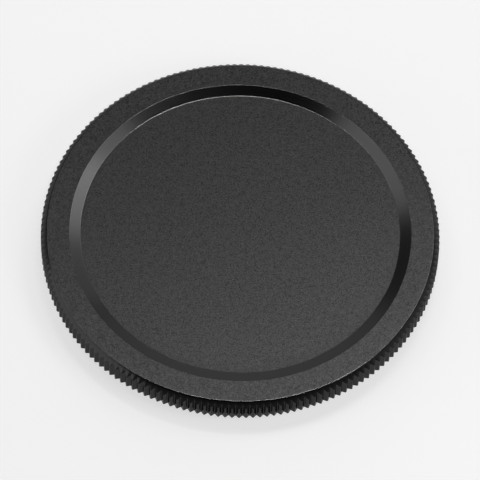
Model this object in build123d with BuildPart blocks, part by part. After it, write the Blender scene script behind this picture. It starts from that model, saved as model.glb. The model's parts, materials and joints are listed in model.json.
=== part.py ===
from build123d import *
import os
from math import radians, tan

# A lens cap that screws into the filter thread on the front of a lens, turned from one
# piece of aluminium. Millimetres, +Z up through the outer face. The origin is the centre
# of the spigot's end face, on which the cap stands.

# Spigot with the male filter thread, drawn at the thread's outer diameter
thread_radius = 33.5
thread_length = 1.5
thread_lead = 0.3
relief_width = 0.5
relief_depth = 0.5
spigot_wall = 2.0
mouth_bevel = 0.2

# Knurled flange that the fingers grip
flange_overhang = 1.5
flange_height = 4.2
rim_chamfer = 1.0
rim_edge_round = 0.2
groove_count = 180
groove_depth = 0.52
groove_angle = 90.0

# Outer face: a flat ring round a shallow dish with a sloping side
ring_width = 4.0
dish_slope_width = 1.95
dish_depth = 0.6
dish_edge_round = 0.15
dish_foot_round = 0.15
web_thickness = 1.2
ceiling_corner_bevel = 0.4

# Heights and radii that follow from those sizes
relief_bottom = thread_lead + thread_length
spigot_length = relief_bottom + relief_width
cap_height = spigot_length + flange_height
dish_floor = cap_height - dish_depth
ceiling = dish_floor - web_thickness
relief_radius = thread_radius - relief_depth
bore_radius = thread_radius - spigot_wall
tip_radius = thread_radius + flange_overhang
root_radius = tip_radius - groove_depth
ring_radius = tip_radius - rim_chamfer
dish_edge_radius = ring_radius - ring_width
dish_foot_radius = dish_edge_radius - dish_slope_width


def corner(sketch, radius, height):
    """The corner of the section that lies at this radius and height."""
    return sketch.vertices().sort_by_distance((radius, height, 0))[0]


with BuildPart() as cap:
    # Turned section, revolved about the lens axis
    with BuildSketch(Plane.XZ) as section:
        with BuildLine():
            Polyline(
                (0, ceiling),
                (bore_radius, ceiling),
                (bore_radius, 0),
                (thread_radius, 0),
                (thread_radius, relief_bottom),
                (relief_radius, relief_bottom),
                (relief_radius, spigot_length),
                (tip_radius, spigot_length),
                (tip_radius, cap_height),
                (dish_edge_radius, cap_height),
                (dish_foot_radius, dish_floor),
                (0, dish_floor),
                close=True,
            )
        make_face()
        chamfer(corner(section, bore_radius, ceiling), ceiling_corner_bevel)
        chamfer(corner(section, bore_radius, 0), mouth_bevel)
        chamfer(corner(section, thread_radius, 0), thread_lead)
        chamfer(corner(section, tip_radius, cap_height), rim_chamfer)
        fillet(corner(section, ring_radius, cap_height), rim_edge_round)
        fillet(corner(section, dish_edge_radius, cap_height), dish_edge_round)
        fillet(corner(section, dish_foot_radius, dish_floor), dish_foot_round)
    revolve(axis=Axis.Z)

    # Straight knurl: V grooves over the whole height of the flange, with narrow lands
    # between them. They run out through the rim's chamfer, which ends in a zigzag.
    cutter_reach = groove_depth * 1.2
    cutter_half_width = cutter_reach * tan(radians(groove_angle / 2))
    with BuildSketch(Plane.XY.offset(spigot_length)):
        with PolarLocations(root_radius, groove_count):
            Polygon((0, 0), (cutter_reach, -cutter_half_width), (cutter_reach, cutter_half_width))
    extrude(amount=flange_height, mode=Mode.SUBTRACT)

cap.part.label = "cap"

os.makedirs("parts", exist_ok=True)
export_step(cap.part, "parts/cap.step")
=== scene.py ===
import json
import math

import bmesh
import bpy
from mathutils import Matrix, Quaternion, Vector


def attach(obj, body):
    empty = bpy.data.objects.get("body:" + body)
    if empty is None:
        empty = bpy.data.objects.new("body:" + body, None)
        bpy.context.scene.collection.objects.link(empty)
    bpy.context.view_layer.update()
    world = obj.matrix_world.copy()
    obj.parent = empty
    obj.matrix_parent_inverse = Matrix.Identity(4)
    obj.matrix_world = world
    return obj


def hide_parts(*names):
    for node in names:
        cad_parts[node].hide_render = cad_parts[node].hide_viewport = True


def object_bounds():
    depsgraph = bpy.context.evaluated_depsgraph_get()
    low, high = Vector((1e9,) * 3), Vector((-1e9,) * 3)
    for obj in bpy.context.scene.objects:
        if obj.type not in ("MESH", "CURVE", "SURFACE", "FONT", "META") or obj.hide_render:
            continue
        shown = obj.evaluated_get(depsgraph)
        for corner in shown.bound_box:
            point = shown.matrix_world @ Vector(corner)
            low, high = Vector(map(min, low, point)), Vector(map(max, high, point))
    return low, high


# Looks of a screw-in lens cap. Its height, spigot radius and thread length come from the
# frame, and the other sizes are those that the cap is turned to, in millimetres.

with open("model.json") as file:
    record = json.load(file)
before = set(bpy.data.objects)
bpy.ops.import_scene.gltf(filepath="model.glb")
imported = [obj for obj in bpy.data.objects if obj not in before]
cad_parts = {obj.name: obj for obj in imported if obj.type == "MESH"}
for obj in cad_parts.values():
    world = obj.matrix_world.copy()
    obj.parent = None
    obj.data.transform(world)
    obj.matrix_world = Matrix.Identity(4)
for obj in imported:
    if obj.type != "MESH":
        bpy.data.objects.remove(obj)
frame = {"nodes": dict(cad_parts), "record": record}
frameBox = [list(corner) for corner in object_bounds()]
threadMount = next(mount for mount in frame["record"]["mounts"] if mount["kind"] == "pin")
millimetre = 0.001
print("frame loaded:", ", ".join(sorted(frame["nodes"])))

capSizes = {
    "top": frameBox[1][2] / millimetre,
    "threadRadius": threadMount["dims"]["r_mm"],
    "threadLength": threadMount["dims"]["length_mm"],
    "flangeOverhang": 1.5,
    "flangeHeight": 4.2,
    "rimChamfer": 1.0,
    "rimEdgeRound": 0.2,
    "ringWidth": 4.0,
    "slopeWidth": 1.95,
    "dishDepth": 0.6,
    "dishEdgeRound": 0.12,
    "dishFootRound": 0.35,
    "webThickness": 1.2,
    "ceilingBevel": 0.4,
    "spigotWall": 2.0,
    "mouthBevel": 0.2,
    "threadLead": 0.3,
    "reliefDepth": 0.5,
    "edgeBreak": 0.05,         # the tiny round on edges that the source leaves sharp
}

knurlSizes = {
    "grooves": 180,
    "depth": 0.52,
    "angle": 90,               # degrees between a groove's two flanks
    "rootRound": 0.1,
    "landRound": 0.07,         # the corners between a flank and the land
    "cornerSteps": 2,
}

threadSizes = {
    "pitch": 0.75,
    "depth": 0.41,
    "crest": 0.16,             # flat widths at crest and root, as shares of the pitch
    "root": 0.2,
    "softness": 0.5,           # 0 for straight flanks, 1 for a smooth wave
    "rings": 48,
}

meshSizes = {
    "turnedColumns": 3 * knurlSizes["grooves"],
    "seam": 0.35,              # how far inside the teeth the columns thin out
    "roundSteps": 4,
    "breakSteps": 2,
    "endRing": 0.25,           # from the thread's lead to the next ring of the spigot's end
    "dishShares": (0.12, 0.3, 0.5, 0.7, 0.86, 0.95),    # rings, as shares of the flat's radius
    "ceilingShares": (0.95, 0.75, 0.5, 0.2),
    "normalWeight": 90,        # how far the larger faces lead the shading of an edge
}

finishSlots = {"face": 0, "slope": 1, "edge": 2, "knurl": 3, "back": 4, "thread": 5}


# Points of an open line through corners that are given as (across, along, radius, steps)
def roundedPath(corners):
    path = []
    for index, (across, along, radius, steps) in enumerate(corners):
        here = Vector((across, along))
        if radius == 0:
            path.append(here)
            continue
        back = (Vector(corners[index - 1][:2]) - here).normalized()
        ahead = (Vector(corners[index + 1][:2]) - here).normalized()
        halfAngle = back.angle(ahead) / 2
        middle = here + (back + ahead).normalized() * radius / math.sin(halfAngle)
        start = here + back * radius / math.tan(halfAngle) - middle
        turn = math.pi - 2 * halfAngle
        if back.x * ahead.y - back.y * ahead.x > 0:
            turn = -turn
        for step in range(steps + 1):
            path.append(middle + Matrix.Rotation(turn * step / steps, 2) @ start)
    return path


def flangeRadius(sizes):
    return sizes["threadRadius"] + sizes["flangeOverhang"]


# Radius of the threaded wall at a height above the spigot's end and an angle round it
def threadWall(height, angle, sizes, thread):
    share = (height / thread["pitch"] - angle / math.tau) % 1
    fromCrest = abs(share - 0.5)
    crest, root = thread["crest"] / 2, 0.5 - thread["root"] / 2
    straight = min(max((fromCrest - crest) / (root - crest), 0), 1)
    smooth = straight * straight * (3 - 2 * straight)
    fall = (1 - thread["softness"]) * straight + thread["softness"] * smooth
    lead = sizes["threadRadius"] - sizes["threadLead"] + height
    return min(sizes["threadRadius"] - thread["depth"] * fall, lead)


# Angle and radius of each column of points over one pitch of the knurl, from a groove's middle
def toothColumns(sizes, knurl):
    tip = flangeRadius(sizes)
    root = tip - knurl["depth"]
    half = math.radians(knurl["angle"] / 2)
    pitch = math.tau / knurl["grooves"]
    run = math.sqrt(tip ** 2 - (root * math.sin(half)) ** 2) - root * math.cos(half)
    mouth = Vector((root + run * math.cos(half), run * math.sin(half)))
    mirrored = Matrix.Rotation(pitch, 2) @ Vector((mouth.x, -mouth.y))
    nextRoot = Matrix.Rotation(pitch, 2) @ Vector((root, 0))
    steps = knurl["cornerSteps"]
    outline = roundedPath([
        (mouth.x, -mouth.y, 0, 0),
        (root, 0, knurl["rootRound"], steps),
        (*mouth, knurl["landRound"], steps),
        (*mirrored, knurl["landRound"], steps),
        (*nextRoot, 0, 0),
    ])
    return [(math.atan2(point.y, point.x), point.length) for point in outline[1:-1]]


def addRing(body, points):
    return [body.verts.new(Vector(point) * millimetre) for point in points]


def turnedRing(body, radius, height, count):
    turns = [math.tau * index / count for index in range(count)]
    return addRing(body, [(radius * math.cos(t), radius * math.sin(t), height) for t in turns])


# One row of faces between two rings; the finer ring gives each face more corners
def bridge(body, first, second, finish):
    if len(first) < len(second):
        first, second = second, first
    ratio = len(first) // len(second)
    for index in range(len(second)):
        run = [first[(index * ratio + step) % len(first)] for step in range(ratio + 1)]
        face = body.faces.new(run + [second[(index + 1) % len(second)], second[index]])
        face.material_index = finishSlots[finish]
        face.smooth = True


def bridgeAll(body, rings, finishes):
    for first, second, finish in zip(rings, rings[1:], finishes):
        bridge(body, first, second, finish)


def closeDisc(body, ring, height, finish):
    middle = body.verts.new(Vector((0, 0, height)) * millimetre)
    for index, vertex in enumerate(ring):
        face = body.faces.new((vertex, ring[(index + 1) % len(ring)], middle))
        face.material_index = finishSlots[finish]
        face.smooth = True


# Outer face from the middle of the dish to where the ring meets the knurled band
def outerFace(body, sizes, mesh):
    ringRadius = flangeRadius(sizes) - sizes["rimChamfer"]
    edgeRadius = ringRadius - sizes["ringWidth"]
    footRadius = edgeRadius - sizes["slopeWidth"]
    floor = sizes["top"] - sizes["dishDepth"]
    steps = mesh["roundSteps"]
    path = [Vector((footRadius * share, floor)) for share in mesh["dishShares"]]
    slope = roundedPath([
        (*path[-1], 0, 0),
        (footRadius, floor, sizes["dishFootRound"], steps),
        (edgeRadius, sizes["top"], sizes["dishEdgeRound"], steps),
        (ringRadius - sizes["ringWidth"] / 2, sizes["top"], 0, 0),
        (ringRadius - mesh["seam"], sizes["top"], 0, 0),
    ])
    finishes = ["face"] * len(path) + ["edge"] * steps + ["slope"] + ["edge"] * steps
    path += slope[1:]
    finishes += ["face"] * (len(path) - 1 - len(finishes))
    rings = [turnedRing(body, point.x, point.y, mesh["turnedColumns"]) for point in path]
    bridgeAll(body, rings, finishes)
    closeDisc(body, rings[0], floor, "face")
    return rings[-1]


# Knurled band: each column runs down the chamfer, the tooth and a little of the shoulder
def knurledBand(body, sizes, knurl, mesh):
    ringRadius = flangeRadius(sizes) - sizes["rimChamfer"]
    shoulder = sizes["top"] - sizes["flangeHeight"]
    pitch = math.tau / knurl["grooves"]
    tooth = toothColumns(sizes, knurl)
    columns = []
    for index in range(knurl["grooves"]):
        columns += [(angle + pitch * index, radius) for angle, radius in tooth]
    columns = columns[1:] + columns[:1]
    steps = mesh["breakSteps"]
    paths = []
    for angle, radius in columns:
        path = roundedPath([
            (ringRadius - mesh["seam"], sizes["top"], 0, 0),
            (ringRadius, sizes["top"], sizes["rimEdgeRound"], mesh["roundSteps"]),
            (radius, sizes["top"] - radius + ringRadius, sizes["edgeBreak"], steps),
            (radius, shoulder, sizes["edgeBreak"], steps),
            (ringRadius - mesh["seam"], shoulder, 0, 0),
        ])
        paths.append([(p.x * math.cos(angle), p.x * math.sin(angle), p.y) for p in path[1:]])
    rings = [addRing(body, ring) for ring in zip(*paths)]
    bridgeAll(body, rings, ["edge"] + ["knurl"] * (len(rings) - 3) + ["back"])
    return rings[0], rings[-1]


# Back of the cap, from the shoulder over the thread and the spigot's end to the ceiling
def backFace(body, sizes, thread, mesh):
    count, steps = mesh["turnedColumns"], mesh["breakSteps"]
    shoulder = sizes["top"] - sizes["flangeHeight"]
    reliefBottom = sizes["threadLead"] + sizes["threadLength"]
    reliefRadius = sizes["threadRadius"] - sizes["reliefDepth"]
    boreRadius = sizes["threadRadius"] - sizes["spigotWall"]
    ceiling = sizes["top"] - sizes["dishDepth"] - sizes["webThickness"]
    small = sizes["edgeBreak"]
    upper = roundedPath([
        (sizes["threadRadius"], shoulder, 0, 0),
        (reliefRadius, shoulder, small, steps),
        (reliefRadius, reliefBottom, small, steps),
        (sizes["threadRadius"], reliefBottom, 0, 0),
    ])[:-1]
    rings = [turnedRing(body, point.x, point.y, count) for point in upper]
    for step in range(thread["rings"] + 1):
        height = reliefBottom * (1 - step / thread["rings"])
        wall = []
        for index in range(count):
            angle = math.tau * index / count
            radius = threadWall(height, angle, sizes, thread)
            wall.append((radius * math.cos(angle), radius * math.sin(angle), height))
        rings.append(addRing(body, wall))
    inner = roundedPath([
        (sizes["threadRadius"] - sizes["threadLead"] - mesh["endRing"], 0, 0, 0),
        (boreRadius + sizes["mouthBevel"], 0, small, steps),
        (boreRadius, sizes["mouthBevel"], small, steps),
        (boreRadius, ceiling - sizes["ceilingBevel"], small, steps),
        (boreRadius - sizes["ceilingBevel"], ceiling, small, steps),
        *[(boreRadius * share, ceiling, 0, 0) for share in mesh["ceilingShares"]],
    ])
    rings += [turnedRing(body, point.x, point.y, count) for point in inner]
    finishes = ["back"] * len(upper) + ["thread"] * thread["rings"] + ["back"] * len(inner)
    bridgeAll(body, rings, finishes)
    closeDisc(body, rings[-1], ceiling, "back")
    return rings[0]


def addObject(name, data):
    made = bpy.data.objects.new(name, data)
    bpy.context.scene.collection.objects.link(made)
    return made


def buildCap(sizes, knurl, thread, mesh):
    body = bmesh.new()
    faceRim = outerFace(body, sizes, mesh)
    bandTop, bandFoot = knurledBand(body, sizes, knurl, mesh)
    backRim = backFace(body, sizes, thread, mesh)
    bridge(body, bandTop, faceRim, "face")
    bridge(body, bandFoot, backRim, "back")
    bmesh.ops.recalc_face_normals(body, faces=body.faces)
    data = bpy.data.meshes.new("turnedCap")
    body.to_mesh(data)
    body.free()
    cap = addObject("turnedCap", data)
    evenShading = cap.modifiers.new("evenShading", "WEIGHTED_NORMAL")
    evenShading.weight = mesh["normalWeight"]
    return cap


# A socket that takes part in plain expressions; each operator adds a Math node
class Wire:
    def __init__(self, finish, socket):
        self.finish, self.socket = finish, socket

    def maths(self, operation, first, second):
        return self.finish.node("ShaderNodeMath", {"operation": operation}, {0: first, 1: second})

    def __add__(self, other):
        return self.maths("ADD", self, other)

    def __radd__(self, other):
        return self.maths("ADD", other, self)

    def __sub__(self, other):
        return self.maths("SUBTRACT", self, other)

    def __rsub__(self, other):
        return self.maths("SUBTRACT", other, self)

    def __mul__(self, other):
        return self.maths("MULTIPLY", self, other)

    def __rmul__(self, other):
        return self.maths("MULTIPLY", other, self)


# A material or world whose nodes are made by one method
class Finish:
    def __init__(self, owner):
        self.owner = owner
        owner.use_nodes = True
        self.tree = owner.node_tree
        self.tree.nodes.clear()

    def node(self, kind, settings, values, output=0):
        made = self.tree.nodes.new(kind)
        for name, value in settings.items():
            setattr(made, name, value)
        for name, value in values.items():
            if isinstance(value, Wire):
                self.tree.links.new(value.socket, made.inputs[name])
            else:
                made.inputs[name].default_value = value
        return Wire(self, made.outputs[output]) if made.outputs else None

    def noise(self, place, size, detail, sharpness):
        return self.node("ShaderNodeTexNoise", {}, {
            "Vector": place,
            "Scale": 1 / (size * millimetre),
            "Detail": detail,
            "Roughness": sharpness,
        })


def grey(shade):
    return shade, shade, shade, 1


# Black anodised aluminium. Sizes and heights of the grain and the marks are in millimetres.
anodisedLooks = {
    "face": {
        "shade": 0.054, "shadeSpread": 0.8, "contrast": 2.9, "metal": 0.5, "edgeTint": 1.0,
        "roughness": 0.337, "uneven": 0.05,
        "grain": 0.24, "grainHeight": 0.03, "mark": 0.2, "markHeight": 0.0,
    },
    "slope": {
        "shade": 0.05, "shadeSpread": 0.08, "contrast": 1.0, "metal": 1.0, "edgeTint": 1.0,
        "roughness": 0.165, "uneven": 0.04,
        "grain": 0.12, "grainHeight": 0.0004, "mark": 0.09, "markHeight": 0.0004,
    },
    "edge": {
        "shade": 0.16, "shadeSpread": 0.2, "contrast": 1.0, "metal": 1.0, "edgeTint": 1.0,
        "roughness": 0.17, "uneven": 0.04,
        "grain": 0.12, "grainHeight": 0.0004, "mark": 0.09, "markHeight": 0.0,
    },
    "knurl": {
        "shade": 0.04, "shadeSpread": 0.1, "contrast": 1.0, "metal": 1.0, "edgeTint": 0.6,
        "roughness": 0.154, "uneven": 0.04,
        "grain": 0.12, "grainHeight": 0.0006, "mark": 0.1, "markHeight": 0.0,
    },
    "back": {
        "shade": 0.05, "shadeSpread": 0.1, "contrast": 1.5, "metal": 0.7, "edgeTint": 0.8,
        "roughness": 0.4, "uneven": 0.05,
        "grain": 0.15, "grainHeight": 0.0004, "mark": 0.14, "markHeight": 0.0016,
    },
    "thread": {
        "shade": 0.045, "shadeSpread": 0.1, "contrast": 1.0, "metal": 0.8, "edgeTint": 0.7,
        "roughness": 0.36, "uneven": 0.04,
        "grain": 0.12, "grainHeight": 0.0005, "mark": 0.1, "markHeight": 0.0004,
    },
}

mottling = {
    "lift": 0.06,              # so that the dish and the ring, at two heights, cut the grain alike
    "grainDetail": 3,
    "patchScale": 3.5,         # size of the patches against the grain's
    "patchShare": 0.2,
    "patchDetail": 2,
    "broadSize": 14,           # millimetres between shinier and duller places
    "broadDetail": 2,
    "markDetail": 2,
    "sharpness": 0.55,         # how strongly the finer layers of each noise show
}


def anodisedMetal(name, look, mottle):
    finish = Finish(bpy.data.materials.new(name))
    place = finish.node("ShaderNodeTexCoord", {}, {}, "Object")
    lifted = finish.node("ShaderNodeVectorMath", {"operation": "ADD"}, {
        0: place,
        1: (0, 0, mottle["lift"] * millimetre),
    })
    patchSize = look["grain"] * mottle["patchScale"]
    sharpness = mottle["sharpness"]
    grain = finish.noise(lifted, look["grain"], mottle["grainDetail"], sharpness)
    patches = finish.noise(lifted, patchSize, mottle["patchDetail"], sharpness)
    broad = finish.noise(place, mottle["broadSize"], mottle["broadDetail"], sharpness)
    flat = finish.node("ShaderNodeVectorMath", {"operation": "MULTIPLY"}, {0: place, 1: (1, 1, 0)})
    radius = finish.node("ShaderNodeVectorMath", {"operation": "LENGTH"}, {0: flat}, "Value")
    height = finish.node("ShaderNodeSeparateXYZ", {}, {0: place}, "Z")
    marks = finish.node("ShaderNodeTexNoise", {"noise_dimensions": "1D"}, {
        "W": (radius + height) * (1 / (look["mark"] * millimetre)),
        "Scale": 1.0,
        "Detail": mottle["markDetail"],
    })
    surface = finish.node("ShaderNodeBump", {}, {
        "Strength": 1.0,
        "Distance": millimetre,
        "Height": grain * look["grainHeight"] + marks * look["markHeight"],
    })
    speckle = grain * (1 - mottle["patchShare"]) + patches * mottle["patchShare"]
    colour = finish.node("ShaderNodeMix", {"data_type": "RGBA"}, {
        0: 0.5 + (speckle - 0.5) * look["contrast"],
        6: grey(look["shade"] * (1 - look["shadeSpread"])),
        7: grey(look["shade"] * (1 + look["shadeSpread"])),
    }, 2)
    shader = finish.node("ShaderNodeBsdfPrincipled", {}, {
        "Base Color": colour,
        "Metallic": look["metal"],
        "Specular Tint": grey(look["edgeTint"]),
        "Roughness": look["roughness"] + (broad - 0.5) * look["uneven"],
        "Normal": surface,
    })
    finish.node("ShaderNodeOutputMaterial", {}, {"Surface": shader})
    return finish.owner


cap = buildCap(capSizes, knurlSizes, threadSizes, meshSizes)
for name in finishSlots:
    cap.data.materials.append(anodisedMetal(name, anodisedLooks[name], mottling))
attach(cap, "root")
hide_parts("cap")
print("cap built:", len(cap.data.polygons), "faces")

studio = {
    "floorSize": 6000,
    "floorGap": 0.02,          # keeps the floor out of the plane of the spigot's end face
    "floorShade": 0.55,
    "floorGlow": 0.63,         # seen by the camera and in reflections only
}


def buildFloor(settings):
    half = settings["floorSize"] * millimetre / 2
    corners = [(-half, -half, 0), (half, -half, 0), (half, half, 0), (-half, half, 0)]
    data = bpy.data.meshes.new("floor")
    data.from_pydata(corners, [], [(0, 1, 2, 3)])
    floor = addObject("floor", data)
    floor.location.z = -settings["floorGap"] * millimetre
    finish = Finish(bpy.data.materials.new("paleFloor"))
    matt = finish.node("ShaderNodeBsdfDiffuse", {}, {"Color": grey(settings["floorShade"])})
    seen = finish.node("ShaderNodeLightPath", {}, {}, "Is Camera Ray")
    mirrored = finish.node("ShaderNodeLightPath", {}, {}, "Is Glossy Ray")
    through = finish.node("ShaderNodeLightPath", {}, {}, "Is Transmission Ray")
    glow = finish.node("ShaderNodeEmission", {}, {
        "Strength": (seen + mirrored + through) * settings["floorGlow"],
    })
    both = finish.node("ShaderNodeAddShader", {}, {0: matt, 1: glow})
    finish.node("ShaderNodeOutputMaterial", {}, {"Surface": both})
    data.materials.append(finish.owner)


# Azimuths are in degrees round from +X, distances and sizes in millimetres, and every lamp
# points at the foot of the cap
lamps = {
    "rightSoftbox": {
        "azimuth": 44, "elevation": 54, "distance": 890,
        "width": 210, "height": 210, "watts": 0.3,
    },
    "rightFill": {
        "azimuth": 54, "elevation": 45, "distance": 680,
        "width": 210, "height": 210, "watts": 0.12,
    },
    "rightTop": {
        "azimuth": 48, "elevation": 64, "distance": 180,
        "width": 40, "height": 40, "watts": 0.01,
    },
    "rightPanel": {
        "azimuth": 353, "elevation": 15, "distance": 310,
        "width": 245, "height": 245, "watts": 0.036,
    },
    "leftSoftbox": {
        "azimuth": 153, "elevation": 62, "distance": 530,
        "width": 215, "height": 215, "watts": 0.24,
    },
    "leftPanel": {
        "azimuth": 194, "elevation": 15, "distance": 420,
        "width": 430, "height": 190, "watts": 0.25,
    },
    "backPanel": {
        "azimuth": 92, "elevation": 22, "distance": 335,
        "width": 320, "height": 235, "watts": 0.14,
    },
    "frontLamp": {
        "azimuth": 326, "elevation": 43, "distance": 215,
        "width": 80, "height": 80, "watts": 0.065,
    },
    "leftFill": {
        "azimuth": 123, "elevation": 45, "distance": 475,
        "width": 145, "height": 145, "watts": 0.011,
    },
    "overheadStrip": {         # draws the bright lines on the near rim and the dish's far foot
        "azimuth": 75, "elevation": 74.5, "distance": 400,
        "width": 125, "height": 30, "watts": 0.2,
    },
}


# The direction from the middle of the scene to a lamp or the camera
def outward(azimuth, elevation):
    turn, rise = math.radians(azimuth), math.radians(elevation)
    return Vector((
        math.cos(turn) * math.cos(rise),
        math.sin(turn) * math.cos(rise),
        math.sin(rise),
    ))


def addLamp(name, place):
    away = outward(place["azimuth"], place["elevation"])
    data = bpy.data.lights.new(name, "AREA")
    data.shape = "RECTANGLE"
    data.size = place["width"] * millimetre
    data.size_y = place["height"] * millimetre
    data.energy = place["watts"]
    lamp = addObject(name, data)
    lamp.visible_camera = False
    lamp.location = away * place["distance"] * millimetre
    lamp.rotation_mode = "QUATERNION"
    lamp.rotation_quaternion = away.to_track_quat("Z", "Y")


horizon = {
    "glow": 0.54,              # brightest at the horizon
    "top": 40,                 # degrees up, where the glow ends
}


# A soft glow near the horizon and darkness overhead, as round a studio table
def buildWorld(settings):
    world = bpy.data.worlds.new("studio")
    bpy.context.scene.world = world
    finish = Finish(world)
    direction = finish.node("ShaderNodeTexCoord", {}, {}, "Generated")
    upward = finish.node("ShaderNodeSeparateXYZ", {}, {0: direction}, "Z")
    glow = finish.node("ShaderNodeMapRange", {}, {
        "Value": upward,
        "From Min": 0.0,
        "From Max": math.sin(math.radians(settings["top"])),
        "To Min": settings["glow"],
        "To Max": 0.0,
    })
    back = finish.node("ShaderNodeBackground", {}, {"Strength": glow})
    finish.node("ShaderNodeOutputWorld", {}, {"Surface": back})


photoView = {
    "azimuth": -90.59,         # from the front, measured as the lamps' are
    "elevation": 59.98,
    "roll": 2.14,
    "distance": 1008,
    "focalPixels": 5734,       # the focal length in pixels of the photograph's frame
    "framePixels": 480,
    "aim": (-0.01, 0.0, 3.27),
    "sensorWidth": 36,
    "clipEnd": 100,            # metres
}


def buildCamera(view):
    data = bpy.data.cameras.new("camera")
    data.sensor_width = view["sensorWidth"]
    data.lens = view["focalPixels"] / view["framePixels"] * data.sensor_width
    data.clip_end = view["clipEnd"]
    away = outward(view["azimuth"], view["elevation"])
    roll = Quaternion((0, 0, 1), math.radians(view["roll"]))
    camera = addObject("camera", data)
    camera.location = (Vector(view["aim"]) + away * view["distance"]) * millimetre
    camera.rotation_mode = "QUATERNION"
    camera.rotation_quaternion = away.to_track_quat("Z", "Y") @ roll
    bpy.context.scene.camera = camera


buildFloor(studio)
for name, place in lamps.items():
    addLamp(name, place)
buildWorld(horizon)
buildCamera(photoView)
bpy.context.scene.view_settings.view_transform = "Standard"
print("stage, lamps and camera set")
